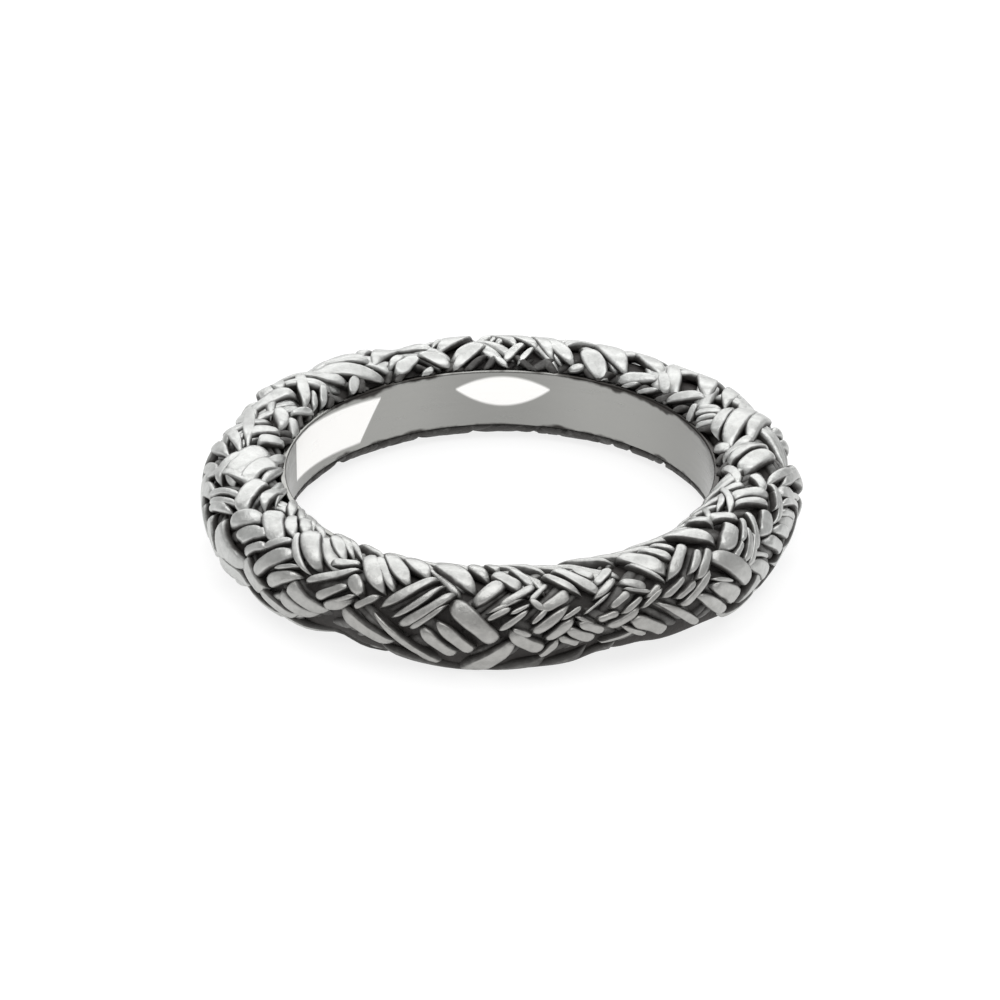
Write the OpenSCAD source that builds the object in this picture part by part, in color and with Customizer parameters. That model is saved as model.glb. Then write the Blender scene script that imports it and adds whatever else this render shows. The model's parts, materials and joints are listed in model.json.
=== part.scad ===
// Braided band ring: a polished inner band with a round core, wrapped in an
// eight-strand round braid. The ring stands on its lower edge with the finger
// bore along Z; the origin is under the middle, level with the lowest strands.

/* [Inner band] */
// Diameter of the finger bore, a US size 7
bore_d = 17.3; // [14:0.1:22]
// Height of the polished inner band along the finger
inner_h = 2.55; // [2:0.05:3.1]
// Wall of the polished inner band
inner_wall = 0.3; // [0.25:0.05:0.45]
// Rounding of the inner band's edges
edge_r = 0.1; // [0.05:0.01:0.12]

/* [Ring over the braid] */
// Height of the ring along the finger, over its strands
ring_h = 3.9; // [3.6:0.1:4.8]
// Depth of the ring from the bore to its outermost strands
ring_t = 3.4; // [3.2:0.1:4.2]

/* [Strands] */
// Thickness of a strand
strand_t = 0.4; // [0.3:0.01:0.5]
// Width of a full strand where it lies on top
strand_w = 1.5; // [1:0.05:1.6]
// Share of its width that a strand keeps where it is tucked under
tucked = 0.8; // [0.6:0.02:1]
// Depth of the grooves between the wires of a strand
groove = 0.15; // [0.05:0.01:0.2]
// Clearance between strands that cross, and between a strand and the inner band
clearance = 0.17; // [0.1:0.01:0.2]

/* [Hidden] */

// Columns of the two charts of courses
SHIFT = 0; // place along the ring past its even place, as a share of the pitch
WIRES = 1; // number of wires side by side
WIDTH = 2; // width, as a share of strand_w
// Courses that climb to the right, from the front of the ring towards its right
RISING = [
    [0.04, 3, 0.92], [-0.06, 3, 0.90], [-0.02, 4, 1.00], [0.06, 3, 0.96],
    [0.08, 2, 0.86], [0.00, 3, 0.92], [0.05, 3, 0.90], [-0.05, 2, 0.86],
    [-0.04, 1, 0.80], [0.00, 3, 0.94], [0.08, 2, 0.88], [-0.04, 3, 0.92],
    [0.06, 2, 0.90], [0.02, 1, 0.80], [0.04, 3, 0.92], [-0.04, 2, 0.86],
    [0.02, 3, 0.94], [-0.06, 2, 0.88], [0.03, 3, 0.92], [0.06, 2, 0.88],
    [-0.02, 2, 0.92], [-0.08, 2, 0.84], [0.04, 4, 1.00], [0.08, 3, 0.92]
];
// Courses that fall to the right, in the same order
FALLING = [
    [0.04, 1, 0.84], [0.06, 2, 0.90], [-0.02, 3, 0.92], [-0.02, 1, 0.84],
    [-0.10, 1, 0.86], [0.02, 2, 0.88], [-0.04, 2, 0.90], [-0.08, 3, 0.92],
    [0.02, 2, 0.86], [0.06, 2, 0.90], [0.05, 3, 0.92], [0.02, 1, 0.80],
    [-0.06, 2, 0.88], [0.04, 2, 0.90], [0.10, 3, 0.92], [0.02, 1, 0.80],
    [-0.04, 1, 0.86], [0.06, 2, 0.90], [-0.02, 2, 0.88], [0.06, 2, 0.92],
    [0.04, 2, 0.88], [-0.02, 1, 0.82], [0.02, 3, 0.98], [-0.04, 2, 0.90]
];
// Direction of climb of each kind of course
UP = 1;
DOWN = -1;

// A round braid of this many strands has as many rows of crossings round its section
strands_in_braid = 8;
strands_each_way = strands_in_braid / 2;
row_step = 360 / strands_in_braid;
courses = len(RISING);
pitch = 360 / courses;
// Turn round the ring for each turn round the section
lead = pitch / 2 / row_step;
// Angle from the front at which the first course of each kind is evenly placed
first_place = 4;

// The section is an ellipse, cut off by the bore where the inner band's face ends
bore_r = bore_d / 2;
half_h = ring_h / 2;
kept = 1 + sqrt(1 - pow(inner_h / ring_h, 2));
half_t = ring_t / kept;
mid_r = bore_r + ring_t - half_t;

// A strand swings this far to each side of the middle of the braid's two layers
swing = (strand_t + clearance) / 2;
layer_depth = swing + strand_t / 2;
core_r = min(half_t, half_h) - 2 * layer_depth - clearance;
// The core hangs on the inner band by a web half as high as itself
web_h = core_r;
// Strands end against a cylinder round the inner band: one corner of a full strand's
// square end meets it with the underside, and the strand's middle stops short of that
stop_r = bore_r + inner_wall + clearance;
corner_turn = 180 - acos((mid_r - stop_r) / (half_t - strand_t));
corner_lead = strand_w / 2 * stop_r * lead / norm([stop_r * lead, half_t]) / half_t;
end_turn = corner_turn - corner_lead * 180 / PI;

// Steepness of the dive between lying on top and being tucked under
dive = 1.7;

// Parts of a row between two rings of points, and the least turn before the last ring
steps_in_row = 3;
least_step = 5;

// Outline across a strand. Places are shares of its half width and rises are shares of
// its half thickness: the thin edges, the feet of the flat underside, the shoulders of
// a single wire, and the fall of the outer wires of a bundle below its middle.
EDGE_RISE = -0.1;
FOOT = 0.55;
SHOULDER = 0.62;
SHOULDER_RISE = 0.8;
OUTER_FALL = 0.3;

function chart(way) = way == UP ? RISING : FALLING;
function in_turn(i) = (i % courses + courses) % courses;
function row_of(way, i) = chart(way)[in_turn(i)];

// Angle round the ring at which a course passes the outermost line of the section
function place(way, i) = first_place + pitch * (i + row_of(way, i)[SHIFT]);

// Turns round the section at which a course crosses those of the other kind
function crossings(way, i) = [
    for (k = [-strands_each_way:strands_each_way])
        [k, way * (place(-way, i + way * k) - place(way, i)) / (2 * lead)]
];
function turn_at(way, i, k) = lookup(k, crossings(way, i));
function crossing_at(way, i, turn) =
    lookup(turn, [for (c = crossings(way, i)) [c[1], c[0]]]);

// 1 where a course lies on top, -1 where it is tucked under, nearly flat at both
function lift(way, k) = -way * max(-1, min(1, dive * cos(180 * k)));

// Counts of the crossings at which a course's rings of points stand
function stations(way, i) =
    let (n = steps_in_row * strands_each_way)
    concat(
        crossing_at(way, i, -end_turn),
        [for (s = [-n:n])
            let (k = s / steps_in_row)
            if (abs(turn_at(way, i, k)) < end_turn - least_step) k],
        crossing_at(way, i, end_turn)
    );

// Point at an angle round the ring and a turn round the section, at a depth
// below the outermost surface and never inside the stop cylinder
function surface_point(angle, turn, depth) =
    let (
        r = max(mid_r + (half_t - depth) * cos(turn), stop_r),
        z = (half_h - depth) * sin(turn)
    )
    [r * sin(angle), -r * cos(angle), half_h + z];

// Tops of so many wires side by side, with a groove between each and the next
function wire_tops(wires) = wires == 1
    ? [[SHOULDER, SHOULDER_RISE], [0, 1], [-SHOULDER, SHOULDER_RISE]]
    : [for (s = [1:2 * wires - 1])
        let (
            across = 1 - s / wires,
            in_groove = s % 2 == 0
        )
        [across, 1 - (in_groove ? 2 * groove / strand_t : OUTER_FALL * pow(across, 2))]];

// Outline of a strand of so many wires, underside first
function outline(wires) = concat(
    [[-1, EDGE_RISE], [-FOOT, -1], [FOOT, -1], [1, EDGE_RISE]],
    wire_tops(wires)
);

// Ring of points round a course where it has passed k crossings
function ring(way, i, k) =
    let (
        turn = turn_at(way, i, k),
        angle = place(way, i) + way * lead * turn,
        top = lift(way, k),
        width = strand_w * row_of(way, i)[WIDTH] * (1 + tucked + (1 - tucked) * top) / 2,
        r = mid_r + half_t * cos(turn),
        along = norm([r * lead, half_t])
    )
    [for (p = outline(row_of(way, i)[WIRES]))
        let (
            across = p[0] * width / 2 / along * 180 / PI,
            height = swing * top + p[1] * strand_t / 2
        )
        surface_point(
            angle + way * across * half_t / r,
            turn - across * r * lead / half_t,
            layer_depth - height
        )];

// Triangles that close one end of a course, spread from the two feet of its outline
function cap(sides) =
    let (middle = (sides + 3) / 2)
    concat(
        [for (s = [3:middle - 1]) [2, s, s + 1]],
        [[2, middle, 1], [1, sides - 1, 0]],
        [for (s = [middle:sides - 2]) [1, s, s + 1]]
    );

// Triangles between each ring of points and the next
function walls(sides, last) = [
    for (n = [0:last - 1])
        for (s = [0:sides - 1])
            let (
                a = n * sides + s,
                b = n * sides + (s + 1) % sides
            )
            each [[a, a + sides, b + sides], [a, b + sides, b]]
];

// One course, from the lower edge of the bore over the outside to the upper edge
module course(way, i) {
    rings = [for (k = stations(way, i)) ring(way, i, k)];
    sides = len(rings[0]);
    last = len(rings) - 1;
    start = cap(sides);
    end = [for (t = start) [for (p = [2:-1:0]) last * sides + t[p]]];
    shell = concat(start, walls(sides, last), end);
    polyhedron(
        points = [for (r = rings) each r],
        faces = way == DOWN ? shell : [for (t = shell) [t[2], t[1], t[0]]]
    );
}

// All the courses of one strand, which comes round again after its share of them
module strand(way, number) {
    for (i = [number - 1:strands_each_way:courses - 1])
        course(way, i);
}

module rising_strand(number) {
    color("silver")
        strand(UP, number);
}

module falling_strand(number) {
    color("gainsboro")
        strand(DOWN, number);
}

// Upright section of the polished wall, with rounded edges
module wall_section() {
    translate([bore_r, edge_r - inner_h / 2])
        square([inner_wall, inner_h - 2 * edge_r]);
    translate([bore_r + edge_r, -inner_h / 2])
        square([inner_wall - 2 * edge_r, inner_h]);
    for (r = [bore_r + edge_r, bore_r + inner_wall - edge_r])
        for (z = [-1, 1])
            translate([r, z * (inner_h / 2 - edge_r)])
                circle(r = edge_r, $fn = 24);
}

module inner_band() {
    color("darkgray")
        translate([0, 0, half_h])
            rotate_extrude($fn = 180) {
                wall_section();
                translate([bore_r + inner_wall / 2, -web_h / 2])
                    square([mid_r - bore_r - inner_wall / 2, web_h]);
                translate([mid_r, 0])
                    circle(r = core_r, $fn = 48);
            }
}

inner_band();
rising_strand(1);  // rising_strand_1
rising_strand(2);  // rising_strand_2
rising_strand(3);  // rising_strand_3
rising_strand(4);  // rising_strand_4
falling_strand(1);  // falling_strand_1
falling_strand(2);  // falling_strand_2
falling_strand(3);  // falling_strand_3
falling_strand(4);  // falling_strand_4
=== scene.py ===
"""Braided band ring: blackened cast silver wires over a dark ground, polished on their tops,
round a smooth polished inner band. Lengths are in metres, angles in degrees."""
import json
import math
import random

import bpy
import numpy as np
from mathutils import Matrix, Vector


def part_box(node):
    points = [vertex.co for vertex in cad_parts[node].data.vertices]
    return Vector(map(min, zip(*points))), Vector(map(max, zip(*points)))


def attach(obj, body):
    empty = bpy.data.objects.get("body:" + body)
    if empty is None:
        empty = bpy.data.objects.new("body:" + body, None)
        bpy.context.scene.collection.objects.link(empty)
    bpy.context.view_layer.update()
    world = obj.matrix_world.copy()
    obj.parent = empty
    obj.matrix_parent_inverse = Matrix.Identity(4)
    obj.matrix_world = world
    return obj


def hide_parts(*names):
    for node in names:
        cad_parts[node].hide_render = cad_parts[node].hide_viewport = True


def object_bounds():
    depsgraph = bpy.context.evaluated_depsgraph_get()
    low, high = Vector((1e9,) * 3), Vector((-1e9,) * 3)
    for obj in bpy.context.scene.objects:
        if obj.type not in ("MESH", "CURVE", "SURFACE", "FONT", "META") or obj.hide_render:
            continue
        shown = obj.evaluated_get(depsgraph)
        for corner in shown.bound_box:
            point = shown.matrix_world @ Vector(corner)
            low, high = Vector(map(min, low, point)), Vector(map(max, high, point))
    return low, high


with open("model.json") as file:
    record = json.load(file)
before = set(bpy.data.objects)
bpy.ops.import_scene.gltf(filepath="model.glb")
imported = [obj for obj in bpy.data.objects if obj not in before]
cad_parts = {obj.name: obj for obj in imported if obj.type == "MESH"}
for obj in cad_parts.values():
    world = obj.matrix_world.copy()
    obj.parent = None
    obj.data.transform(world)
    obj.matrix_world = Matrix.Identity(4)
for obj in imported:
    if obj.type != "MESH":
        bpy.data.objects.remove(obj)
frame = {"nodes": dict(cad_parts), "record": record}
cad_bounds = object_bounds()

MM = 0.001
RNG = random.Random(7)

# The frame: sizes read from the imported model
BORE_R = frame["record"]["mounts"][0]["dims"]["r_mm"] * MM
BAND_LOW, BAND_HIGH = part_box("inner_band")
INNER_H = BAND_HIGH[2] - BAND_LOW[2]
RING_H = cad_bounds[1][2] - cad_bounds[0][2]
SOLID_POINTS = [vertex.co for node in frame["nodes"].values() for vertex in node.data.vertices]
OUTER_R = max(math.hypot(point.x, point.y) for point in SOLID_POINTS)
HALF_H = RING_H / 2
MID_Z = (BAND_HIGH[2] + BAND_LOW[2]) / 2

# The section over the braid's crowns is an ellipse that the bore cuts
KEPT = 1 + math.sqrt(1 - (INNER_H / RING_H) ** 2)
HALF_T = (OUTER_R - BORE_R) / KEPT
MID_R = OUTER_R - HALF_T
# Wires stop behind the inner band's wall, and over its rims they reach nearly to the bore
STOP_R = BORE_R + 0.3 * MM
RIM_R = BORE_R + 0.03 * MM
# The highest wires stand this much over the solids' crowns, measured from the middle
PROUD = 1.02
# Share by which they hang lower under the front and under the bore's lower rim
LOWER = 0.06
# Depth of the ground between the wires, the lesser depth under the front, and the least
# radius at which the ground may stand beside the bore
GROUND_DEPTH = 0.50 * MM
FRONT_DEPTH = 0.12 * MM
GROUND_R = BORE_R + 0.15 * MM
# The ground's points round the ring and steps round the section
GROUND_ROUNDS = 240
GROUND_STEPS = 48

# The regular braid: 24 courses each way in four strands, with eight rows of crossings round
# the section. The lead is a course's turn round the ring for each turn round the section.
COURSES = 24
STRANDS_EACH_WAY = 4
PITCH = 360.0 / COURSES
ROW = 45.0
LEAD = PITCH / 2 / ROW
# Angle from the front of the first course, and the turn at which the braid meets the band
WEAVE_START = 4.0
LAST_TURN = 146.0
UP, DOWN = 1, -1

# Wires seen in the photograph, from end to end. Angles round the ring start at the front
# and grow to the right; turns round the section start at the outside and grow upwards.
# Columns: angle and turn of the left end, angle and turn of the right end, width in
# hundredths of a millimetre, and how pointed each end is, from 0 (blunt) to 9.
SEEN = (
    # front left, falling, over the top
    (-31.5, 104, -23.6, 46, 58, 3, 5), (-29.3, 104, -21.4, 50, 34, 2, 4),
    (-28.0, 118, -18.8, 62, 56, 3, 5), (-23.5, 119, -15.6, 80, 56, 3, 3),
    (-15.5, 116, -5.2, 60, 72, 3, 6), (-7.2, 118, -2.5, 82, 44, 2, 5),
    (-3.0, 118, -0.6, 99, 38, 2, 4),
    # front left, rising
    (-23.3, 25, -13.2, 76, 34, 5, 3), (-20.6, 16, -11.6, 65, 22, 4, 5),
    (-19.4, 5, -8.9, 56, 32, 2, 3), (-16.8, 6, -10.8, 37, 20, 2, 8),
    (-28.4, 18, -24.2, 37, 26, 2, 5), (-5.4, 41, 0.6, 74, 50, 5, 1),
    # front left, falling, on the outside
    (-9.4, 42, -0.7, -4, 66, 1, 1), (-12.0, 17, -5.0, -19, 46, 9, 2),
    (-15.0, 7, -8.2, -30, 46, 4, 2), (-25.0, 16, -14.6, -38, 32, 8, 2),
    (-32.0, 8, -21.0, -28, 56, 2, 4), (-31.6, 56, -28.0, 34, 52, 1, 3),
    (-5.4, -56, 2.8, -8, 70, 4, 4),
    # front right
    (1.8, 8, 8.0, -18, 52, 6, 2), (3.0, 11, 5.2, 5, 20, 5, 5), (0.0, 41, 6.8, 65, 26, 6, 2),
    (-1.7, 33, 3.9, 48, 15, 6, 5), (-2.0, 24, 1.5, 35, 20, 3, 3), (0.3, 14, 4.9, 33, 20, 4, 4),
    (2.8, 34, 5.2, 41, 15, 4, 4), (-1.2, 88, 4.4, 63, 50, 1, 3), (2.3, 101, 6.8, 66, 30, 3, 2),
    (6.6, 78, 8.4, 60, 18, 2, 2), (6.3, 49, 9.3, 66, 20, 3, 3), (6.2, 47, 8.2, 36, 24, 2, 5),
    (6.6, 22, 8.6, 33, 18, 3, 3), (8.0, 35, 13.6, 53, 44, 6, 1), (6.0, 6, 13.5, 38, 34, 1, 8),
    (12.3, 22, 15.1, 31, 18, 3, 3), (8.6, -5, 14.2, 19, 34, 4, 5), (9.5, 86, 16.2, 53, 30, 2, 6),
    (11.8, 98, 20.2, 50, 48, 2, 4), (17.0, 101, 20.4, 80, 40, 2, 4), (15.2, 19, 17.6, 9, 15, 3, 5),
    (15.2, 11, 20.1, -8, 36, 4, 2), (12.8, 6, 18.6, -18, 40, 3, 3), (11.2, -5, 15.1, -20, 28, 3, 3),
    (7.8, -32, 10.8, -8, 26, 2, 5), (20.6, -29, 25.6, -12, 16, 4, 4),
    (17.0, 25, 21.8, 44, 14, 3, 6), (19.3, 44, 24.2, 67, 32, 5, 2), (20.1, 66, 23.9, 82, 38, 2, 2),
    (19.2, 10, 23.2, 17, 30, 2, 5), (22.0, 26, 25.4, 39, 30, 6, 1), (21.2, -3, 27.6, 18, 34, 2, 6),
    (24.2, 15, 27.8, 28, 22, 6, 1), (25.0, 56, 29.7, 41, 32, 3, 2), (26.2, 44, 29.5, 36, 14, 4, 3),
    (26.0, 2, 33.2, -27, 52, 2, 2), (24.2, -5, 28.5, -22, 22, 3, 3),
    # right of the front, rising
    (29.8, 29, 32.3, 38, 24, 3, 1), (28.6, 18, 32.2, 31, 18, 2, 5), (33.0, 25, 37.9, 38, 22, 2, 6),
    (35.8, 19, 39.8, 28, 20, 3, 4), (36.2, 6, 44.7, 34, 28, 2, 8), (35.2, 43, 42.9, 78, 40, 6, 1),
    (39.9, 41, 44.4, 63, 28, 5, 2), (41.2, 31, 46.7, 57, 30, 4, 2), (49.8, 49, 57.0, 69, 58, 6, 0),
    (51.2, 35, 55.0, 43, 18, 3, 5), (53.2, 24, 59.5, 53, 24, 3, 4), (54.1, 16, 60.2, 42, 22, 3, 5),
    (55.7, 45, 60.6, 65, 22, 5, 2), (53.7, 90, 60.5, 120, 22, 5, 2),
    (52.5, 104, 57.0, 126, 20, 3, 3),
    # right of the front, falling
    (31.2, 17, 42.0, -39, 30, 7, 3), (40.3, 10, 48.2, -33, 42, 5, 3),
    (44.4, 12, 50.2, -16, 58, 4, 1), (46.2, 47, 53.8, -5, 64, 2, 2),
    (56.0, 10, 62.5, -28, 56, 3, 3), (57.2, 20, 61.4, 6, 16, 3, 4), (45.2, 20, 48.2, 12, 14, 5, 5),
    (28.5, 106, 35.0, 51, 58, 2, 5), (29.0, 79, 33.2, 45, 14, 3, 6),
    (33.2, 102, 37.8, 64, 34, 2, 5), (36.4, 99, 39.8, 76, 22, 2, 4),
    (41.8, 112, 49.3, 60, 52, 3, 6), (51.0, 113, 53.5, 83, 34, 3, 6),
    (54.7, 88, 59.8, 68, 42, 1, 3),
    # right side
    (63.0, 36, 68.6, 52, 56, 4, 1), (58.3, 26, 63.6, 66, 24, 4, 2), (60.5, 42, 63.5, 62, 20, 3, 3),
    (75.0, 67, 79.0, 86, 40, 4, 1), (69.5, 30, 78.6, 62, 26, 6, 2), (73.0, 43, 76.0, 52, 18, 3, 3),
    (78.8, 61, 89.0, 31, 30, 2, 4), (78.4, 44, 82.0, 20, 50, 1, 3), (83.0, 40, 92.0, 18, 34, 3, 3),
    (65.0, 84, 71.6, 49, 32, 3, 4), (68.0, 97, 74.8, 54, 50, 2, 4), (70.2, 112, 74.4, 90, 34, 3, 3),
    (61.2, 84, 73.0, 121, 26, 5, 3), (74.8, 101, 86.0, 131, 34, 4, 3),
    (60.5, 98, 68.0, 112, 22, 4, 4), (48.5, -46, 60.0, -37, 36, 5, 5),
    (59.0, -40, 71.0, -25, 40, 4, 5), (67.6, -24, 71.0, -12, 40, 3, 3),
    (69.0, -30, 83.0, -4, 34, 5, 5), (71.5, -16, 85.0, 6, 26, 5, 5), (82.0, 98, 89.5, 62, 62, 0, 3),
    (86.6, 118, 92.8, 70, 40, 3, 3), (90.2, 120, 95.6, 88, 34, 3, 3),
    (63.5, 20, 69.5, -14, 46, 2, 3), (68.5, 20, 73.5, -6, 40, 2, 4), (73.0, 30, 80.0, -2, 24, 3, 4),
    (76.0, 32, 83.0, 2, 24, 3, 4), (79.0, 30, 86.0, 4, 22, 3, 4),
    # left of the front
    (-62.0, 26, -55.6, 58, 46, 3, 4), (-58.9, 17, -53.4, 42, 36, 1, 4),
    (-53.3, 43, -48.6, 67, 26, 2, 4), (-58.0, 14, -51.0, -8, 56, 1, 2),
    (-54.0, 1, -45.6, 54, 52, 3, 4), (-49.8, 2, -42.5, 29, 46, 3, 5),
    (-48.0, 28, -43.8, 40, 15, 4, 4), (-40.4, 28, -30.8, 69, 28, 2, 4),
    (-37.6, 66, -32.0, 83, 36, 3, 2), (-37.8, 10, -31.7, 41, 34, 2, 4),
    (-36.2, 2, -30.0, 23, 42, 2, 3), (-33.5, 16, -29.6, 30, 18, 3, 4),
    (-43.4, 18, -36.0, -6, 52, 0, 3), (-46.0, 2, -38.0, -16, 46, 3, 3),
    (-49.2, 82, -40.6, 40, 24, 2, 5), (-49.0, 102, -39.2, 51, 66, 2, 5),
    (-44.0, 116, -36.0, 84, 46, 3, 5), (-62.0, 92, -51.0, 60, 74, 1, 4),
    (-57.0, 104, -49.5, 76, 40, 3, 4), (-55.0, 120, -48.5, 92, 46, 3, 3),
    (-67.0, -4, -56.0, -28, 60, 4, 4), (-60.0, -22, -47.0, -40, 60, 4, 4),
    (-50.0, -26, -35.0, -50, 60, 4, 4), (-52.0, -10, -43.0, -28, 44, 4, 4),
    # left side
    (-92.5, 118, -80.0, 63, 84, 1, 4), (-87.5, 127, -76.3, 83, 60, 1, 2),
    (-76.0, 106, -65.5, 60, 68, 2, 4), (-71.5, 122, -63.8, 82, 38, 3, 5),
    (-89.5, 84, -83.0, 47, 40, 3, 4), (-90.0, 14, -74.0, 84, 28, 3, 3),
    (-82.0, 18, -71.0, 64, 24, 3, 3), (-79.5, 22, -70.0, 56, 24, 3, 3),
    (-78.0, 18, -70.5, 42, 32, 3, 3), (-66.2, 36, -61.2, 70, 54, 1, 2),
    (-62.3, 27, -58.4, 56, 40, 1, 3), (-70.5, 30, -59.2, 0, 70, 1, 1),
    (-75.5, 20, -69.0, -14, 56, 3, 3), (-83.0, 10, -76.0, -12, 40, 3, 3),
    (-93.5, 20, -86.5, 46, 40, 3, 4), (-99.0, 33, -91.5, 60, 40, 3, 4),
    (-88.0, 8, -80.0, 30, 50, 3, 4),
    # right of the back
    (95.2, 118, 108.8, 61, 62, 2, 3), (90.3, 126, 94.0, 64, 36, 3, 3),
    (92.6, 108, 97.8, 82, 34, 3, 3), (94.3, 119, 98.0, 134, 42, 3, 2),
    (97.5, 84, 107.0, 44, 56, 2, 4), (104.0, 122, 111.8, 84, 50, 3, 3),
    (110.5, 76, 117.0, 48, 34, 3, 4), (110.6, 106, 115.0, 132, 22, 3, 3),
    (111.8, 103, 116.8, 126, 22, 3, 3), (113.4, 98, 118.2, 121, 28, 3, 3),
    (108.8, 118, 113.2, 139, 24, 3, 3), (120.2, 100, 129.4, 133, 34, 3, 4),
    (117.0, 138, 119.8, 115, 28, 3, 4), (115.5, 85, 121.5, 50, 50, 3, 3),
    (120.5, 96, 128.0, 62, 66, 2, 3), (131.0, 121, 137.0, 96, 44, 3, 3),
    (127.6, 122, 135.5, 80, 50, 3, 3), (136.7, 107, 147.6, 131, 48, 3, 4),
    (134.6, 125, 139.2, 138, 18, 3, 4), (141.0, 127, 144.4, 138, 18, 3, 4),
    (150.0, 138, 160.0, 90, 66, 4, 1), (146.5, 112, 155.5, 66, 74, 3, 3),
    (157.0, 121, 161.2, 131, 30, 3, 3), (160.6, 119, 169.8, 72, 56, 2, 3),
    (166.4, 119, 171.2, 76, 38, 3, 3), (136.5, 96, 145.0, 66, 60, 3, 3),
    (172.2, 105, 175.0, 126, 20, 3, 3), (174.2, 94, 178.6, 125, 30, 3, 3),
    (178.2, 131, 181.6, 117, 22, 3, 3), (170.8, 98, 175.6, 70, 44, 3, 3),
    (175.8, 96, 180.4, 66, 40, 3, 3),
    # left of the back
    (-176.5, 95, -167.0, 137, 42, 2, 4), (-175.8, 88, -167.6, 121, 36, 3, 3),
    (-166.8, 130, -159.4, 97, 42, 5, 2), (-158.8, 105, -151.5, 127, 54, 1, 4),
    (-161.6, 129, -158.6, 138, 28, 3, 3), (-147.9, 133, -136.4, 84, 56, 4, 3),
    (-140.2, 115, -136.2, 133, 36, 1, 3), (-137.4, 118, -131.6, 76, 50, 2, 3),
    (-131.4, 120, -126.0, 83, 38, 3, 3), (-129.4, 109, -125.0, 130, 28, 3, 3),
    (-126.2, 105, -121.4, 127, 24, 3, 3), (-126.6, 83, -119.4, 119, 40, 3, 3),
    (-120.0, 133, -114.2, 115, 28, 3, 3), (-113.0, 115, -106.5, 137, 40, 2, 3),
    (-114.4, 91, -107.3, 115, 46, 3, 1), (-120.6, 101, -116.0, 80, 50, 2, 3),
    (-104.0, 119, -97.2, 87, 40, 2, 2), (-100.2, 131, -95.0, 101, 42, 3, 3),
    (-109.0, 97, -103.0, 72, 60, 2, 3), (-106.8, 57, -93.6, 85, 40, 3, 3),
    (-101.8, 45, -91.4, 77, 36, 3, 3), (-112.5, 47, -108.0, 71, 42, 3, 3),
    (-156.5, 92, -150.5, 116, 34, 3, 3), (-155.0, 70, -147.0, 104, 60, 3, 2),
    (-170.0, 70, -164.5, 101, 60, 3, 3), (-164.0, 90, -157.0, 64, 60, 3, 3),
    (-147.0, 96, -140.0, 64, 60, 3, 3), (-133.0, 82, -128.0, 56, 50, 3, 3),
    (-124.5, 56, -119.0, 84, 46, 3, 3), (-118.5, 60, -112.0, 88, 48, 3, 3),
)
# Wires that fill the outline under the front, darkened as painted shade, in the same columns
SHADED = (
    (-24.0, -44, -8.0, -70, 60, 4, 4), (1.8, -64, 8.6, -46, 74, 6, 6),
    (9.6, -64, 17.0, -44, 80, 6, 6), (17.6, -58, 23.0, -42, 66, 6, 6),
)
# Their polish, kept low as painted shade under the ring, and their depth under the crowns
SHADED_POLISH = 0.25
SHADED_LEVEL = -0.2 * MM
# Edges of what the photograph shows: angle from the front, then lowest and highest turn
SHOWN = ((0, -50, 112), (45, -48, 114), (60, -32, 124), (72, -14, 140), (82, 8, 140), (90, 22, 140),
         (105, 44, 140), (120, 58, 140), (135, 66, 140), (180, 68, 140))
# Where the photograph's outline swells or sinks: angle from the front, half the reach in
# degrees, and the rise in hundredths of a millimetre
SWELLS = ((90, 4, 20), (96, 3, -16), (105, 8, 24), (114, 4, -10), (124, 8, 14), (-156, 5, -20),
          (-145, 8, 18), (-134, 3, -14), (-128, 8, 18), (-120, 3, 22), (-108, 4, -12), (-98, 7, 18),
          (-66, 4, 14), (-60, 4, -18), (-35, 5, -34), (-22, 9, -14), (10, 8, -12), (20, 5, -34),
          (29, 4, -16), (53, 6, 14), (70, 8, -6))
# Chart of the unseen courses: shift as a share of the pitch, then the wires side by side
# in hundredths of a millimetre. It comes round again all along the ring.
RISING = ((0.04, (46, 34, 40)), (-0.06, (38, 40, 34)), (-0.02, (60, 56)), (0.06, (60, 34, 32)),
          (0.00, (90,)), (0.05, (44, 38, 42)))
FALLING = ((0.04, (96,)), (0.06, (50, 58)), (-0.02, (42, 40, 44)), (-0.04, (64, 50)),
           (0.05, (42, 44, 40)), (-0.06, (92,)))
# Depth and polish of the regular braid under the seen wires, past an angle from the front
# and past a turn; the polish also carries painted shade. The first row that fits counts: black where
# the back meets the bore, as painted shade, shallow and bright over the rest of the back, deep and
# darker at the sides, then the front's top, its shoulder and its outside.
UNDERLAY = ((100, 112, 0.36 * MM, 0.15), (100, -180, 0.12 * MM, 1.2), (48, -180, 0.28 * MM, 0.45),
            (-1, 80, 0.14 * MM, 1.2), (-1, 60, 0.26 * MM, 1.2), (-1, -180, 0.26 * MM, 0.4))

# Ends of wires that lap over each rim of the inner band
RIM_ENDS = 68
# Points along a wire and round it, and half its thickness
WIRE_POINTS = 23
SIDES = 16
HALF_THICK = 0.24 * MM
# A wire runs on past each of its visible ends by this much, and a thin one by what it
# lacks of THIN more. Its ends dive, and those of a wire slimmer than STOUT dive less.
RUN_ON = 0.14 * MM
THIN = 0.3 * MM
DIVE = 0.30 * MM
STOUT = 0.4 * MM
# Longest tips, blunt and pointed, as shares of half a wire, and the least width at an end
BLUNT_TIP = 0.9
POINTED_TIP = 0.95
END_WIDTH = 0.10
# Ends that face the camera less squarely than this run on out of sight by this turn
HORIZON = 0.42
OUT_OF_SIGHT = 22.0
# The photograph's camera, by a perspective fit of the ring's outlines: degrees over the
# floor, and in millimetres its distance, aim under the ring's middle, lens and film width
CAMERA_HEIGHT = 27.85
CAMERA_DISTANCE = 218.9
AIM_UNDER = 0.23
LENS = 194.6
FILM_WIDTH = 36.0
# A wire is wider than its polished top, by so much at each of these angles from the front
WIDER = ((20, 50, 75, 105, 130), (1.18, 1.25, 1.26, 1.32, 1.24))
# Power that makes a wire's section squarer than an oval, for which it is 1
SQUARENESS = 0.60
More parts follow.
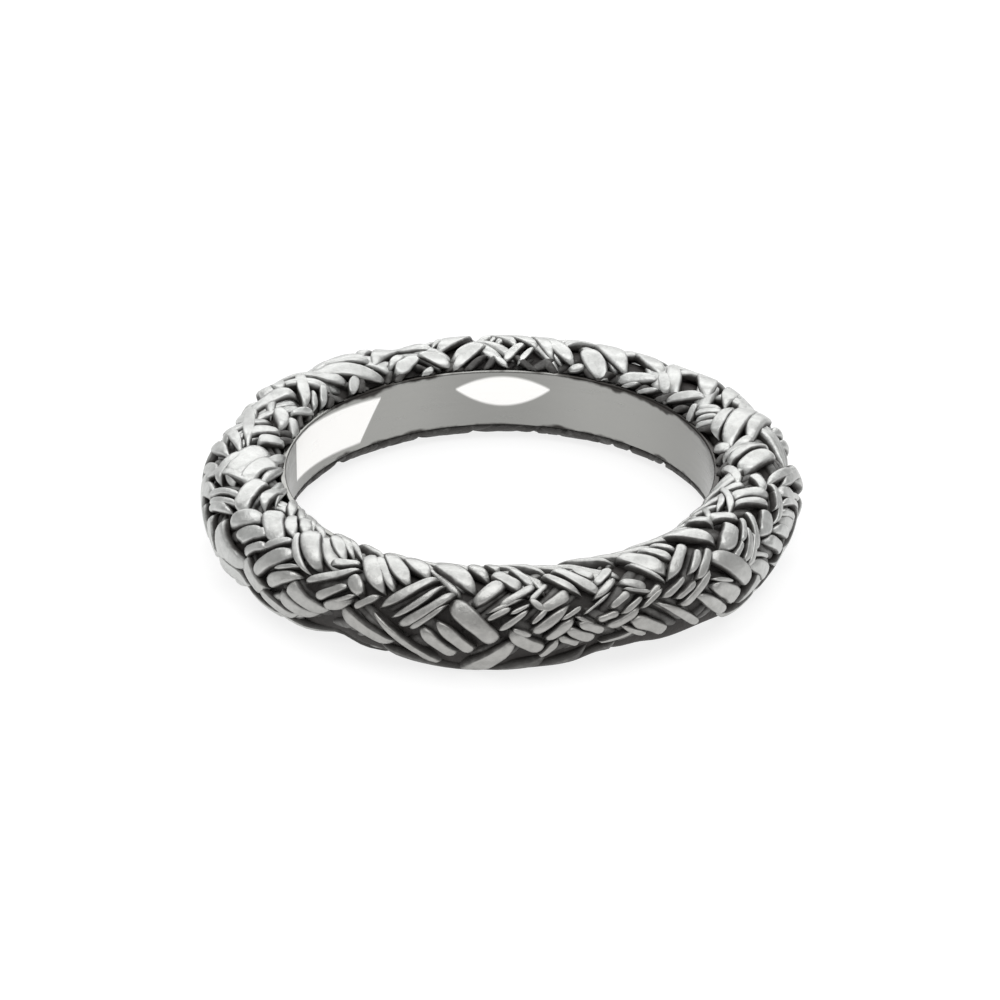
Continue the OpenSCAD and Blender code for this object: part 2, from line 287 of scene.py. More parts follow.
# Wires at the sides arch towards the back, by this share of half their length at each angle
ARCHED = ((30, 60, 110, 140), (0, 0.19, 0.19, 0))
# Share of its width by which a hand-laid wire swells and narrows
UNEVEN = 0.08
# Share of a row that an unseen wire reaches to each side of its crossing
ROW_REACH = 0.72
# Crowns are left this much higher or lower than each other, as shares of half the section
CREST = 0.006
# Power of its height by which a crown is ground down at the front, and how much more it is
# at the sides and the back
GRIND = 0.75
MORE_GRIND = 0.23
# Depth under the crowns that the polish reaches at the front, how much deeper it reaches
# at the sides and the back, and the depth over which it fades
POLISH_REACH = 0.14 * MM
MORE_REACH = 0.10 * MM
POLISH_FADE = 0.30 * MM


def linear(hex_colour):
    """Linear colour from an sRGB hex value."""
    parts = [int(hex_colour[i:i + 2], 16) / 255 for i in (1, 3, 5)]
    return tuple(c / 12.92 if c <= 0.04045 else ((c + 0.055) / 1.055) ** 2.4 for c in parts) + (1.0,)


def connect(tree, node, inputs):
    """Links a node's inputs to other nodes, or sets them."""
    for name, value in inputs.items():
        if isinstance(value, bpy.types.NodeSocket):
            tree.links.new(value, node.inputs[name])
        else:
            node.inputs[name].default_value = value


def add(tree, kind, settings=None, inputs=None):
    """Adds a node with its settings and inputs."""
    node = tree.nodes.new(kind)
    for name, value in (settings or {}).items():
        setattr(node, name, value)
    connect(tree, node, inputs or {})
    return node


def maths(tree, operation, *values, clamped=False):
    """Result of an operation on numbers."""
    settings = {"operation": operation, "use_clamp": clamped}
    return add(tree, "ShaderNodeMath", settings, dict(enumerate(values))).outputs[0]


def ramp(tree, value, start, end, low=0.0, high=1.0, **settings):
    """Number that goes from low to high while the value goes from start to end."""
    inputs = {"Value": value, "From Min": start, "From Max": end, "To Min": low, "To Max": high}
    return add(tree, "ShaderNodeMapRange", settings, inputs).outputs[0]


def noise(tree, where, size, detail, roughness=0.5):
    """Cloudy noise with clouds of about this size."""
    inputs = {"Vector": where, "Scale": 1 / size, "Detail": detail, "Roughness": roughness}
    return add(tree, "ShaderNodeTexNoise", None, inputs).outputs["Fac"]


def scaled(tree, vector, factor):
    """Vector or colour times a factor."""
    inputs = {0: vector, "Scale": factor}
    return add(tree, "ShaderNodeVectorMath", {"operation": "SCALE"}, inputs).outputs[0]


def mixed(tree, share, first, second):
    """Mix of two colours, with this share of the second."""
    inputs = {"Factor": share, "A": first, "B": second}
    return add(tree, "ShaderNodeMix", {"data_type": "RGBA"}, inputs).outputs["Result"]


def section_point(angle, turn, depth):
    """Point at a depth under the crowns, and the direction that faces out there."""
    across, up = math.cos(math.radians(turn)), math.sin(math.radians(turn))
    r = MID_R + (HALF_T - depth) * across
    round_x, round_y = math.sin(math.radians(angle)), -math.cos(math.radians(angle))
    point = Vector((r * round_x, r * round_y, MID_Z + (HALF_H - depth) * up))
    return point, Vector((across * round_x, across * round_y, up)).normalized()


def wire(left, right, width, tips, level, bow, roll, polish_and_shade):
    """Points along a wire: place, outward direction, half width, height over half width, how
    far it is polished, less where shade is painted on, and how much prouder than the rest its crown is
    left. The level is its depth under the crowns, the bow its arch as a share of half its length, and
    the roll its tilt to one side."""
    mid_angle, half_angle = (left[0] + right[0]) / 2, (right[0] - left[0]) / 2
    mid_turn, half_turn = (left[1] + right[1]) / 2, (right[1] - left[1]) / 2
    r = MID_R + HALF_T * math.cos(math.radians(mid_turn))
    run = math.radians(half_angle) * r
    climb = math.radians(half_turn) * HALF_T
    half_length = math.hypot(run, climb)
    longer = 1 + (RUN_ON + max(0.0, THIN - width)) / half_length
    blunt = min(BLUNT_TIP, width / 2 / half_length)
    phase = RNG.uniform(0, 2 * math.pi)
    points = []
    dive = DIVE * min(1.0, width / STOUT)
    crest = CREST * math.sin(7 * phase)
    for n in range(WIRE_POINTS):
        # Place along the wire from -1 to 1, with the points closer together near its ends
        s = -math.cos(math.pi * n / (WIRE_POINTS - 1))
        pointed = (tips[0 if s < 0 else 1] / 9) ** 0.6
        tip = blunt + (POINTED_TIP - blunt) * pointed if pointed else blunt
        past = min(1.0, max(0.0, (abs(s) - 1 + tip) / tip))
        shape = max(END_WIDTH, (1 - past ** 2) ** (0.5 + 0.5 * pointed))
        shape *= 1 + UNEVEN * math.sin(4 * s + phase)
        side = bow * (1 - s * s) * half_length
        angle = mid_angle + s * longer * half_angle - math.degrees(side * climb / half_length / r)
        turn = mid_turn + s * longer * half_turn + math.degrees(side * run / half_length / HALF_T)
        half_width = width / 2 * shape
        # Towards its ends a wire thins later than it narrows, and dives last of all
        half_thick = HALF_THICK * shape ** 0.6
        depth = level + HALF_THICK + dive * abs(s) ** 5
        point, out = section_point(angle, turn, depth)
        around = Vector((math.cos(math.radians(angle)), math.sin(math.radians(angle)), 0))
        onward = around * run - out.cross(around) * climb
        out = (out + out.cross(onward.normalized()) * roll).normalized()
        points.append((point, out, half_width, half_thick / half_width, polish_and_shade, crest))
    return points


def facing(angle, turn):
    """How squarely the ring's surface faces the camera, from 1 to 0 at the horizon."""
    ahead = math.cos(math.radians(CAMERA_HEIGHT)) * math.cos(math.radians(angle))
    above = math.sin(math.radians(CAMERA_HEIGHT))
    return ahead * math.cos(math.radians(turn)) + above * math.sin(math.radians(turn))


def from_front(angle):
    """Angle from the front of the ring, the same to either side."""
    return abs((angle + 180) % 360 - 180)


def past_horizon(end, other):
    """The end, or the place further on where it is out of sight. Ends at the sides and over
    the top stay as charted."""
    beside = 40 < abs(end[0]) < 100
    if beside or facing(*end) > HORIZON or end[1] > 90:
        return end
    slope = (end[0] - other[0]) / (end[1] - other[1])
    return end[0] - slope * OUT_OF_SIGHT, end[1] - OUT_OF_SIGHT


def seen_wires():
    """Each charted wire, with the strand that it belongs to."""
    for number, row in enumerate((*SEEN, *SHADED)):
        left_angle, left_turn, right_angle, right_turn, width, *tips = row
        shaded = number >= len(SEEN)
        polish_and_shade = SHADED_POLISH if shaded else 1.0
        left, right = (left_angle, left_turn), (right_angle, right_turn)
        way = UP if right_turn > left_turn else DOWN
        place = (left_angle + right_angle) / 2 - way * LEAD * (left_turn + right_turn) / 2
        course = round((place - WEAVE_START) / PITCH) % COURSES
        level = SHADED_LEVEL if shaded else RNG.uniform(-0.14, -0.02) * MM
        bow, roll = RNG.uniform(-0.08, 0.08), RNG.uniform(-0.3, 0.3)
        bow -= np.interp(abs(left_angle), *ARCHED) * way * math.copysign(1, left_angle)
        if way == UP:
            left = past_horizon(left, right)
        else:
            right = past_horizon(right, left)
        width *= np.interp(abs(left_angle), *WIDER)
        # At the back the ends are more pointed than they look in the blurred photograph
        if abs(left_angle) > 95:
            tips = [min(9, tip + 3) for tip in tips]
        yield way, course, wire(left, right, width / 100 * MM, tips, level, bow, roll, polish_and_shade)


def is_shown(angle, turn):
    """Whether the photograph shows this place on the ring."""
    angles, lowest, highest = zip(*SHOWN)
    low = np.interp(from_front(angle), angles, lowest)
    high = np.interp(from_front(angle), angles, highest)
    return low < turn < high


def how_laid(angle, turn):
    """Depth and polish, with its painted shade, of the regular braid at a crossing, and its width as a
    share of its chart's: sunk in where the photograph shows the ring, full and proud where it doesn't."""
    if is_shown(angle, turn):
        for past_angle, past_turn, depth, polish_and_shade in UNDERLAY:
            if from_front(angle) > past_angle and turn > past_turn:
                return depth, polish_and_shade, 0.92
    # Under the front the wires fill the outline, and over its bore they stay low
    if math.cos(math.radians(angle)) > 0.1:
        return (0.03 * MM, 1.0, 1.3) if turn < 0 else (0.22 * MM, 1.0, 0.9)
    return -0.08 * MM, 1.0, 1.12


def unseen_wires():
    """The regular braid all round the ring, which shows where the photograph doesn't reach."""
    for way, chart, overs in ((UP, RISING, (-3, -1, 1, 3)), (DOWN, FALLING, (-2, 0, 2))):
        for course in range(COURSES):
            for over in overs:
                shift, widths = chart[(course + over) % len(chart)]
                turn = ROW * over + RNG.uniform(-3, 3)
                angle = WEAVE_START + PITCH * (course + shift) + way * LEAD * turn
                level, polish_and_shade, fuller = how_laid(angle, turn)
                widths = [width * fuller for width in widths]
                yield from bundle(way, course, angle, turn, widths, level, polish_and_shade)


def rim_wires():
    """Ends of wires that lap over both rims of the inner band. Over the lower rim they lie
    flatter. Over the upper rim they are slender and painted black behind as shade, and in front they
    all fall, start further out and shine."""
    for number in range(RIM_ENDS):
        for side in (UP, DOWN):
            way = RNG.choice((UP, DOWN))
            angle = 360 * (number + RNG.uniform(-0.35, 0.35)) / RIM_ENDS
            upper_behind = side == UP and from_front(angle) > 85
            upper_front = side == UP and not upper_behind
            start, stop = side * RNG.uniform(114, 124), side * RNG.uniform(139, 147)
            slant = LEAD * (RNG.uniform(0.8, 1.6) if side == UP else RNG.uniform(3.0, 5.0))
            if upper_front:
                way, slant, start = DOWN, 2.0 * LEAD, start - 18
            ends = sorted([(angle, start), (angle + way * slant * (stop - start), stop)])
            # Low polish darkens them, partly as oxide by the band and partly as painted shade: black
            # behind the upper rim, dark under the lower
            if upper_behind:
                width, polish_and_shade = RNG.uniform(0.22, 0.40) * MM, 0.12
            else:
                width, polish_and_shade = RNG.uniform(0.30, 0.56) * MM, RNG.uniform(0.0, 0.25)
            if upper_front:
                polish_and_shade += 0.7
            level, roll = RNG.uniform(-0.06, 0.10) * MM, RNG.uniform(-0.2, 0.2)
            yield way, number % COURSES, wire(*ends, width, (6, 6), level, 0.0, roll, polish_and_shade)


def bundle(way, course, angle, turn, widths, level, polish_and_shade):
    """Wires side by side across one crossing."""
    r = MID_R + HALF_T * math.cos(math.radians(turn))
    along = math.hypot(r * LEAD, HALF_T)
    start = -sum(widths) / 200 * MM
    for width in widths:
        middle = start + width / 200 * MM
        start += width / 100 * MM
        reach = ROW * ROW_REACH * RNG.uniform(0.85, 1.1)
        across = math.degrees(middle / along)
        at_angle = angle + way * across * HALF_T / r + RNG.uniform(-0.4, 0.4)
        at_turn = turn - across * r * LEAD / HALF_T
        low = max(-LAST_TURN, at_turn - reach)
        high = min(LAST_TURN, at_turn + reach)
        ends = [(at_angle + way * LEAD * (t - at_turn), t) for t in (low, high)]
        if way == DOWN:
            ends.reverse()
        tips = (RNG.randint(2, 5), RNG.randint(2, 5))
        own_level = level + RNG.uniform(0.0, 0.08) * MM
        bow, roll = RNG.uniform(-0.05, 0.05), RNG.uniform(-0.3, 0.3)
        yield way, course, wire(*ends, width / 100 * MM, tips, own_level, bow, roll, polish_and_shade)


# What a wire's mesh keeps at each point, in the order of wire()'s columns
POINT_LAYERS = {"centre": "FLOAT_VECTOR", "out": "FLOAT_VECTOR", "half_width": "FLOAT",
                "tallness": "FLOAT", "polish_and_shade": "FLOAT", "crest": "FLOAT"}


def path_mesh(name, wires):
    """Mesh of edges, one chain for each wire, with what the sweep needs at each point."""
    points = [p for chain in wires for p in chain]
    edges = []
    first = 0
    for chain in wires:
        edges += [(first + n, first + n + 1) for n in range(len(chain) - 1)]
        first += len(chain)
    mesh = bpy.data.meshes.new(name)
    mesh.from_pydata([p[0] for p in points], edges, [])
    for column, (label, kind) in enumerate(POINT_LAYERS.items()):
        layer = mesh.attributes.new(label, kind, "POINT")
        if kind == "FLOAT":
            layer.data.foreach_set("value", [p[column] for p in points])
        else:
            layer.data.foreach_set("vector", [c for p in points for c in p[column]])
    return mesh


def wire_sweep():
    """Geometry Nodes tree: sweeps an oval along each chain, upright to the ring's surface."""
    tree = bpy.data.node_groups.new("wire_sweep", "GeometryNodeTree")
    tree.interface.new_socket("Geometry", in_out="INPUT", socket_type="NodeSocketGeometry")
    tree.interface.new_socket("Sides", in_out="INPUT", socket_type="NodeSocketInt")
    tree.interface.new_socket("Material", in_out="INPUT", socket_type="NodeSocketMaterial")
    tree.interface.new_socket("Geometry", in_out="OUTPUT", socket_type="NodeSocketGeometry")
    given = add(tree, "NodeGroupInput")
    centre, out, half_width, tallness = (
        add(tree, "GeometryNodeInputNamedAttribute", {"data_type": POINT_LAYERS[label]},
            {"Name": label}).outputs["Attribute"]
        for label in ("centre", "out", "half_width", "tallness"))
    chains = add(tree, "GeometryNodeMeshToCurve", None, {"Mesh": given.outputs["Geometry"]})
    upright = add(tree, "GeometryNodeSetCurveNormal", {"mode": "FREE"},
                  {"Curve": chains.outputs[0], "Normal": out})
    sized = add(tree, "GeometryNodeSetCurveRadius", None,
                {"Curve": upright.outputs[0], "Radius": half_width})
    oval = add(tree, "GeometryNodeCurvePrimitiveCircle", None,
               {"Resolution": given.outputs["Sides"], "Radius": 1.0})
    sweep = add(tree, "GeometryNodeCurveToMesh", None,
                {"Curve": sized.outputs[0], "Profile Curve": oval.outputs[0], "Fill Caps": True})
    # Where the sweep has a scale of its own, it doesn't follow the chain's radius
    if "Scale" in sweep.inputs:
        tree.links.new(half_width, sweep.inputs["Scale"])
    here = add(tree, "GeometryNodeInputPosition").outputs[0]
    offset = add(tree, "ShaderNodeVectorMath", {"operation": "SUBTRACT"}, {0: here, 1: centre})
    rise = add(tree, "ShaderNodeVectorMath", {"operation": "DOT_PRODUCT"},
               {0: offset.outputs[0], 1: out}).outputs["Value"]
    # The crown is the height of a point over the wire's middle, as a share of its half width
    crown = maths(tree, "DIVIDE", rise, half_width)
    kept = add(tree, "GeometryNodeStoreNamedAttribute", {"data_type": "FLOAT", "domain": "POINT"},
               {"Geometry": sweep.outputs[0], "Name": "crown", "Value": crown})
    square = maths(tree, "POWER", maths(tree, "ABSOLUTE", crown), SQUARENESS)
    high = maths(tree, "MULTIPLY", square, maths(tree, "SIGN", crown))
    more = maths(tree, "SUBTRACT", maths(tree, "MULTIPLY", high, tallness), crown)
    lift = scaled(tree, out, maths(tree, "MULTIPLY", more, half_width))
    shaped = add(tree, "GeometryNodeSetPosition", None, {"Geometry": kept.outputs[0], "Offset": lift})
    smooth = add(tree, "GeometryNodeSetShadeSmooth", None, {"Geometry": shaped.outputs[0]})
    real = add(tree, "GeometryNodeRealizeInstances", None, {"Geometry": smooth.outputs[0]})
    done = add(tree, "GeometryNodeSetMaterial", None,
               {"Geometry": real.outputs[0], "Material": given.outputs["Material"]})
    add(tree, "NodeGroupOutput", None, {"Geometry": done.outputs[0]})
    return tree


def swept(name, wires, tree, material):
    """Plain mesh object of the wires, swept by the tree."""
    source = bpy.data.objects.new(name + "_paths", path_mesh(name + "_paths", wires))
    bpy.context.collection.objects.link(source)
    modifier = source.modifiers.new("sweep", "NODES")
    modifier.node_group = tree
    given = {"Sides": SIDES, "Material": material}
    for item in tree.interface.items_tree:
        if item.in_out == "INPUT" and item.name in given:
            modifier[item.identifier] = given[item.name]
    graph = bpy.context.evaluated_depsgraph_get()
    mesh = bpy.data.meshes.new_from_object(source.evaluated_get(graph))
    mesh.name = name
    bpy.data.objects.remove(source)
    piece = bpy.data.objects.new(name, mesh)
    bpy.context.collection.objects.link(piece)
    return piece


def floats_of(mesh, label):
    """The mesh's attribute of this name, a number for each point."""
    values = np.empty(len(mesh.vertices))
    mesh.attributes[label].data.foreach_get("value", values)
    return values


def in_section(points):
    """Radius of each point, and its place across and up the section as shares of its half size."""
    radius = np.hypot(points[:, 0], points[:, 1])
    return radius, (radius - MID_R) / HALF_T, (points[:, 2] - MID_Z) / HALF_H


def prouder(points):
    """How far out the photograph's outline stands near each point, as a share of the regular
    section."""
    radius, across, up = in_section(points)
    in_front = np.interp(-points[:, 1] / radius, (0.90, 0.95), (0, 1))
    beside_bore = np.interp(across, (-0.55, -0.35), (1, 0))
    underneath = np.interp(up, (-0.8, -0.6), (1, 0))
    proud = PROUD + LOWER * underneath * np.minimum(in_front + beside_bore, 1)
    angle = np.degrees(np.arctan2(points[:, 0], -points[:, 1]))
    swell = np.zeros(len(points))
    for at, half, rise in SWELLS:
        swell += rise / 100 * np.exp(-((angle - at + 180) % 360 - 180) ** 2 / half ** 2)
    return proud * (1 + swell * np.interp(across, (-0.6, 0), (0, 1)) * MM / HALF_T)


def polish_share_with_shade(behind, across, up):
    """How much of the polish reaches a place: less near the bore, partly as oxide and partly as painted
    shade, and less underneath, as painted shade.
    """
    turn = np.degrees(np.abs(np.arctan2(up, across)))
    # The darkening near the bore is oxide in the recess with painted shade: it sets in at a lesser turn
    # under the band's middle and is strongest there, and is stronger behind than in front
    near_bore = np.clip((turn - np.where(up < 0, 104, 118)) / 22, 0, 1)
    near_bore *= np.where(up < 0, 0.95, np.where(behind > 0, 0.5, 0.2))
    # Painted shade: less polish shows underneath
    return (1 - near_bore) * np.interp(up, (-0.9, -0.6), (0.3, 1))


def grind_tops(mesh):
    """Grinds the crowns to one outer surface, trims the wires against the inner band, and
    keeps as attributes how far the polish has reached each point, less where shade is painted on, and a
    painted shade on the front."""
    points = np.empty(len(mesh.vertices) * 3)
    mesh.vertices.foreach_get("co", points)
    points = points.reshape(-1, 3)
    radius, across, up = in_section(points)
    reach = np.hypot(across, up)
    crest = floats_of(mesh, "crest")
    # The sides and the back are rubbed more than the front, and the left more than the right
    rubbed = np.interp((points[:, 1] - 0.3 * points[:, 0]) / radius, (-0.6, -0.1), (0, 1))
    ground_down = np.maximum(reach, 1.0) ** -(GRIND + MORE_GRIND * rubbed)
    keep = ground_down * prouder(points) * (1 + crest)
    beside_band = np.abs(up * keep) * HALF_H < INNER_H / 2
    # Each wire is trimmed by a hair more or less, so that no two meet in one plane
    spare = (crest + CREST) * 3 * MM
    stop = np.where(beside_band, STOP_R, RIM_R) + spare
    new_radius = np.maximum(MID_R + across * keep * HALF_T, stop)
    points[:, :2] *= (new_radius / radius)[:, None]
    points[:, 2] = np.maximum(MID_Z + up * keep * HALF_H, spare)
    mesh.vertices.foreach_set("co", points.ravel())
    depth = (1 - np.minimum(reach, 1.0)) * HALF_T
    # The polish starts part of the way up a wire: lower and more sharply where it is rubbed
    crown = floats_of(mesh, "crown")
    crown = np.clip((crown - 0.28 + 0.06 * rubbed) / (0.45 - 0.15 * rubbed), 0, 1)
    polished = np.clip(1 - (depth - POLISH_REACH - MORE_REACH * rubbed) / POLISH_FADE, 0, 1)
    # Oxide by the bore, and painted shade underneath, at the back and on the shaded wires, take from
    # the polish
    polished *= polish_share_with_shade(points[:, 1], across, up) * floats_of(mesh, "polish_and_shade")
    # Painted shade: the front of the ring is darker, less so towards the top
    painted_front_shade = np.interp(-points[:, 1] / OUTER_R, (0.45, 0.85), (0, 1))
    painted_front_shade *= np.interp(up, (0.4, 1.3), (1, 0))
    for label, values in (("wear_and_shade", crown * polished), ("painted_front_shade", painted_front_shade)):
        layer = mesh.attributes.new(label, "FLOAT", "POINT")
        layer.data.foreach_set("value", values)
    for label in (*POINT_LAYERS, "crown"):
        if label in mesh.attributes:
            mesh.attributes.remove(mesh.attributes[label])
    mesh.update()


def cast_ground(material):
    """The blackened ground between the wires: a ring of the braid's own section, sunk in, but
    less so under the front."""
    points = []
    for n in range(GROUND_ROUNDS):
        angle = 360.0 * n / GROUND_ROUNDS
        for m in range(GROUND_STEPS + 1):
            turn = LAST_TURN * (2 * m / GROUND_STEPS - 1)
            under = np.interp(turn, (-110, -90, -50, -30), (0, 1, 1, 0))
            under *= np.interp(math.cos(math.radians(angle)), (0.1, 0.3), (0, 1))
            depth = GROUND_DEPTH + (FRONT_DEPTH - GROUND_DEPTH) * under
            points.append(section_point(angle, turn, depth)[0])
    points = np.array(points)
    radius, across, up = in_section(points)
    proud = prouder(points)
    new_radius = np.maximum(MID_R + across * proud * HALF_T, GROUND_R)
    points[:, :2] *= (new_radius / radius)[:, None]
    points[:, 2] = np.maximum(MID_Z + up * proud * HALF_H, 0)
    width = GROUND_STEPS + 1
    faces = []
    for n in range(GROUND_ROUNDS):
        here, after = n * width, (n + 1) % GROUND_ROUNDS * width
        for m in range(width):
            higher = (m + 1) % width
            faces.append((here + m, after + m, after + higher, here + higher))
    mesh = bpy.data.meshes.new("cast_ground")
    mesh.from_pydata(points.tolist(), [], faces)
    mesh.polygons.foreach_set("use_smooth", [True] * len(faces))
    mesh.materials.append(material)
    mesh.update()
    piece = bpy.data.objects.new("cast_ground", mesh)
    bpy.context.collection.objects.link(piece)
    return piece


def new_material(name):
    """Empty material, with its node tree and its shader."""
    material = bpy.data.materials.new(name)
    material.use_nodes = True
    tree = material.node_tree
    tree.nodes.clear()
    shader = add(tree, "ShaderNodeBsdfPrincipled")
    add(tree, "ShaderNodeOutputMaterial", None, {"Surface": shader.outputs[0]})
    return material, tree, shader


def oxidised_silver():
    """Cast silver, blackened and then polished: satin crowns that fade to black in the grooves, with
    painted shade on the front.
    """
    material, tree, shader = new_material("oxidised_silver")
    # How far the polish shows, dimmed in places by painted shade
    wear_and_shade = add(tree, "ShaderNodeAttribute", {"attribute_name": "wear_and_shade"}).outputs["Fac"]
    painted_front_shade = add(tree, "ShaderNodeAttribute", {"attribute_name": "painted_front_shade"}).outputs["Fac"]
    where = add(tree, "ShaderNodeTexCoord").outputs["Object"]
    blotch = noise(tree, where, 0.35 * MM, 5.0)
    patchy = maths(tree, "MULTIPLY_ADD", blotch, 0.60, wear_and_shade)
    shown = ramp(tree, patchy, 0.28, 1.08, interpolation_type="SMOOTHSTEP")
    mottle = noise(tree, where, 0.5 * MM, 6.0, 0.7)
    dulled = ramp(tree, mottle, 0.35, 0.6, 0.80, 1.0)
    # Tops at the front are darker as painted shade
    top = mixed(tree, painted_front_shade, linear("#CBCCCA"), linear("#B0AFAC"))
    colour = mixed(tree, shown, linear("#393735"), scaled(tree, top, dulled))
    bump = add(tree, "ShaderNodeBump", None, {"Height": mottle, "Strength": 1.0, "Distance": 0.05 * MM})
    rough = ramp(tree, shown, 0.0, 1.0, 0.55, 0.35)
    connect(tree, shader, {"Base Color": colour, "Normal": bump.outputs[0],
                           "Roughness": rough, "Metallic": shown})
    return material


def black_ground():
    """Black oxide on the cast silver: dull, with the grain of the casting."""
    material, tree, shader = new_material("black_oxide")
    where = add(tree, "ShaderNodeTexCoord").outputs["Object"]
    grain = noise(tree, where, 0.25 * MM, 4.0)
    colour = mixed(tree, grain, linear("#2A2827"), linear("#464341"))
    bump = add(tree, "ShaderNodeBump", None, {"Height": grain, "Strength": 0.6, "Distance": 0.08 * MM})
    connect(tree, shader, {"Base Color": colour, "Normal": bump.outputs[0],
                           "Roughness": 0.6, "Specular IOR Level": 0.3})
    return material


def above_line(tree, height, line):
    """1 where the height is over the line, with a soft edge. Both are in millimetres, and
    the same goes for two angles in degrees."""
    over = maths(tree, "SUBTRACT", height, line)
    return ramp(tree, over, -0.06, 0.10, interpolation_type="SMOOTHSTEP")


def between_lines(tree, height, low_line, high_line):
    """1 where the height is over the first line and under the second, with soft edges."""
    over_low = above_line(tree, height, low_line)
    over_high = above_line(tree, height, high_line)
    return maths(tree, "SUBTRACT", over_low, over_high, clamped=True)


def painted_highlight_patches(tree, from_back, height):
    """1 in the inside face's two painted highlights, bright patches of painted reflection. The one at
    the back is an almond between two parabolas, the one at the left ends in a slope."""
    bowl = maths(tree, "POWER", ramp(tree, from_back, 0.8, 14.1, clamp=False), 2.0)
    low_line = maths(tree, "MULTIPLY_ADD", bowl, 0.85, 1.60)
    high_line = maths(tree, "MULTIPLY_ADD", bowl, -0.48, 2.93)
    back_highlight = between_lines(tree, height, low_line, high_line)
    slope_line = ramp(tree, from_back, -42.5, -32.5, 0.95, 3.3)
    foot_line = ramp(tree, from_back, -80.0, -45.0, 1.35, 1.0)
    low_line = maths(tree, "MAXIMUM", slope_line, foot_line)
    brow_line = ramp(tree, from_back, -65.0, -33.0, 3.10, 2.72)
    under_brow = between_lines(tree, height, low_line, brow_line)
    left_highlight = maths(tree, "MULTIPLY", under_brow, above_line(tree, from_back, -74.0))
    return maths(tree, "MAXIMUM", back_highlight, left_highlight)


def rim_oxide(tree, where, from_back, height):
    """1 in the oxide along both rims of the inside face. It has a ragged edge, creeps further
    in at the sides of the back, and hardly over the top rim at the front and the far left."""
    ragged = noise(tree, where, 1.0 * MM, 3.0)
    waved = maths(tree, "MULTIPLY_ADD", ragged, 0.5, height)
    aside = maths(tree, "ABSOLUTE", from_back)
    top_line = ramp(tree, aside, 8.0, 35.0, 3.46, 3.23)
    far_left = ramp(tree, from_back, -60.0, -42.0, 0.34, 0.0)
    at_front = ramp(tree, aside, 100.0, 120.0, 0.0, 0.5)
    top_line = maths(tree, "ADD", maths(tree, "ADD", top_line, far_left), at_front)
    over_top = above_line(tree, waved, top_line)
    under_foot = maths(tree, "SUBTRACT", 1.0, above_line(tree, waved, 0.98))
    return maths(tree, "MAXIMUM", over_top, under_foot)


def polished_silver():
    """Polished silver of the inside face: a dull grey, lighter and darker round the face as painted
    reflection and shade, with two bright patches of painted highlight, and dark with oxide along its
    rims."""
    material, tree, shader = new_material("polished_silver")
    where = add(tree, "ShaderNodeTexCoord").outputs["Object"]
    x, y, z = add(tree, "ShaderNodeSeparateXYZ", None, {"Vector": where}).outputs
    # Places on the face are millimetres of height, and degrees from the back to the right
    height = maths(tree, "DIVIDE", z, MM)
    from_back = maths(tree, "MULTIPLY", maths(tree, "ARCTAN2", x, y), math.degrees(1))
    # Painted reflection and shade: the face is lightest a little to each side of the highlight at the
    # back, and darker further round
    aside = maths(tree, "ABSOLUTE", from_back)
    painted_lighter = ramp(tree, aside, 5.0, 28.0, 0.93, 1.10, interpolation_type="SMOOTHSTEP")
    painted_darker = ramp(tree, aside, 35.0, 75.0, 1.0, 0.78, interpolation_type="SMOOTHSTEP")
    dull_and_shaded = scaled(tree, linear("#9A9A97")[:3], maths(tree, "MULTIPLY", painted_lighter, painted_darker))
    # The two patches are painted highlights, near-white on the grey face
    face = mixed(tree, painted_highlight_patches(tree, from_back, height), dull_and_shaded, linear("#FBFAF8"))
    oxide = rim_oxide(tree, where, from_back, height)
    colour = mixed(tree, oxide, face, linear("#3C3A38"))
    streak = add(tree, "ShaderNodeMapping", None, {"Vector": where, "Scale": (1.0, 1.0, 12.0)})
    scratch = noise(tree, streak.outputs[0], 1.5 * MM, 5.0)
    rough = ramp(tree, scratch, 0.3, 0.7, 0.18, 0.28)
    connect(tree, shader, {"Base Color": colour, "Roughness": rough, "Metallic": 1.0})
    return material


def floor_material():
    """White sheet lit from below, which keeps only a trace of the ring's shadow."""
    material, tree, shader = new_material("lit_white_sheet")
    connect(tree, shader, {"Base Color": (0.25, 0.25, 0.25, 1.0), "Roughness": 0.9,
                           "Emission Color": (1.0, 1.0, 1.0, 1.0), "Emission Strength": 0.8})
    return material


def camera():
    """Long lens at the photograph's height, aimed just under the ring's middle."""
    elevation = math.radians(CAMERA_HEIGHT)
    back = Vector((0, -math.cos(elevation), math.sin(elevation)))
    up = Vector((0, math.sin(elevation), math.cos(elevation)))
    data = bpy.data.cameras.new("camera")
    data.lens = LENS
    data.sensor_width = FILM_WIDTH
    data.clip_start = 0.01
    seen = bpy.data.objects.new("camera", data)
    seen.location = Vector((0, 0, MID_Z)) - up * AIM_UNDER * MM + back * CAMERA_DISTANCE * MM
    seen.rotation_euler = back.to_track_quat("Z", "Y").to_euler()
    bpy.context.collection.objects.link(seen)
    bpy.context.scene.camera = seen


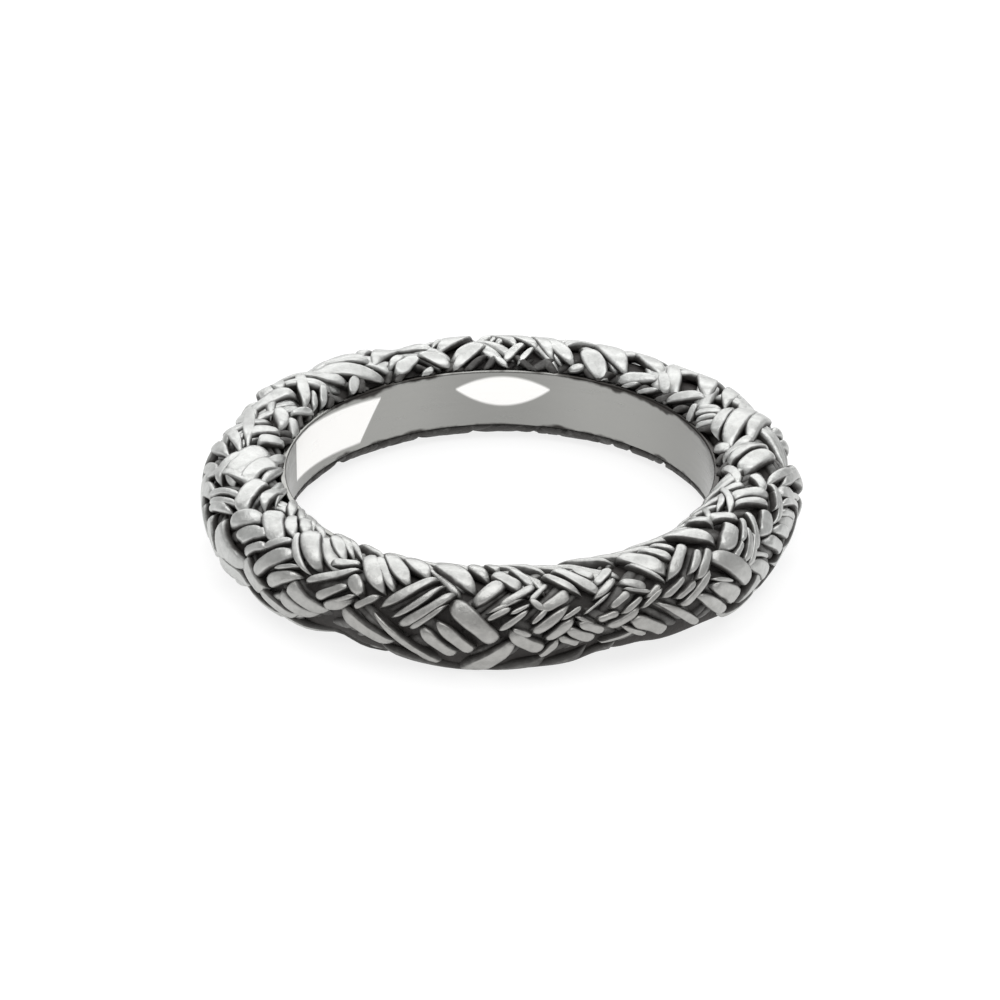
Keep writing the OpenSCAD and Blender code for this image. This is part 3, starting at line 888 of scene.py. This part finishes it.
def soft_box(name, azimuth, elevation, distance, size, glow):
    """Soft light that looks equally bright all over, aimed at the ring."""
    data = bpy.data.lights.new(name, "AREA")
    data.shape = "RECTANGLE"
    data.size, data.size_y = size
    data.energy = glow * math.pi * size[0] * size[1]
    lamp = bpy.data.objects.new(name, data)
    flat = math.cos(math.radians(elevation))
    away = Vector((math.sin(math.radians(azimuth)) * flat, -math.cos(math.radians(azimuth)) * flat,
                   math.sin(math.radians(elevation))))
    lamp.location = away * distance
    lamp.rotation_euler = away.to_track_quat("Z", "Y").to_euler()
    bpy.context.collection.objects.link(lamp)


def studio():
    """White floor and pale surroundings, with a soft light overhead and one behind."""
    bpy.ops.mesh.primitive_plane_add(size=1.2, location=(0, 0, 0))
    floor = bpy.context.object
    floor.name = "floor"
    floor.data.materials.append(floor_material())
    world = bpy.data.worlds.new("studio")
    world.use_nodes = True
    background = world.node_tree.nodes["Background"]
    background.inputs["Color"].default_value = (1, 1, 1, 1)
    background.inputs["Strength"].default_value = 0.55
    bpy.context.scene.world = world
    soft_box("overhead", azimuth=0, elevation=84, distance=0.40, size=(0.5, 0.4), glow=1.5)
    soft_box("behind", azimuth=180, elevation=32, distance=0.45, size=(0.6, 0.3), glow=1.5)
    bpy.context.scene.view_settings.view_transform = "Standard"


camera()
studio()

silver = oxidised_silver()
ground = black_ground()
polished = polished_silver()
sweep_tree = wire_sweep()

strands = {(way, strand): [] for way in (UP, DOWN) for strand in range(STRANDS_EACH_WAY)}
for way, course, points in [*seen_wires(), *unseen_wires(), *rim_wires()]:
    strands[way, course % STRANDS_EACH_WAY].append(points)
for (way, strand), wires in strands.items():
    kind = "rising" if way == UP else "falling"
    piece = swept(f"{kind}_wires_{strand + 1}", wires, sweep_tree, silver)
    grind_tops(piece.data)
    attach(piece, "root")
    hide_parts(f"{kind}_strand_{strand + 1}")

floor_of_braid = cast_ground(ground)
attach(floor_of_braid, "root")

band = frame["nodes"]["inner_band"]
for slot in band.material_slots:
    slot.material = polished
